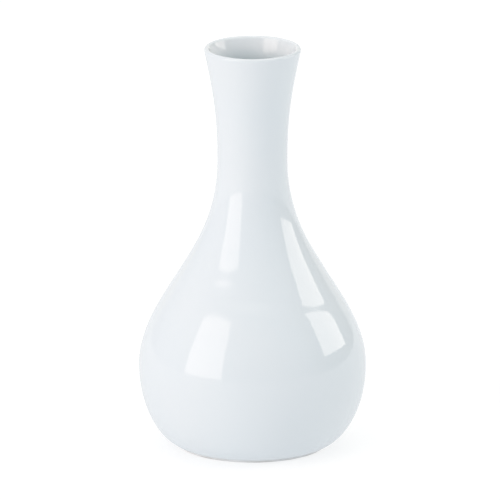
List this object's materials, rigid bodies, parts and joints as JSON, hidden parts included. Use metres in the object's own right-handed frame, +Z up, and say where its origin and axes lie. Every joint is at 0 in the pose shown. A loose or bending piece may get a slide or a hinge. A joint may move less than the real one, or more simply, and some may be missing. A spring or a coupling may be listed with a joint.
{
  "type": "bud vase",
  "caption": "Small porcelain bud vase with an onion-shaped belly, cone shoulder, slim waisted neck and flared lip, glazed white inside and out, standing on a bare foot ring.",
  "frame": {"origin": "centre of the foot ring, on the surface that the vase stands on", "axes": "+Z up along the axis that the vase is turned about, towards the lip; X and Y are free because the form is round"},
  "size_m": [0.0722, 0.0722, 0.13],
  "materials": {
    "bare_porcelain": "matte",
    "white_glaze": "gloss"
  },
  "bodies": {
    "root": {"porcelain_body": "bare_porcelain", "outside_glaze": "white_glaze", "inside_glaze": "white_glaze", "foot_recess_glaze": "white_glaze"}
  },
  "joints": []
}
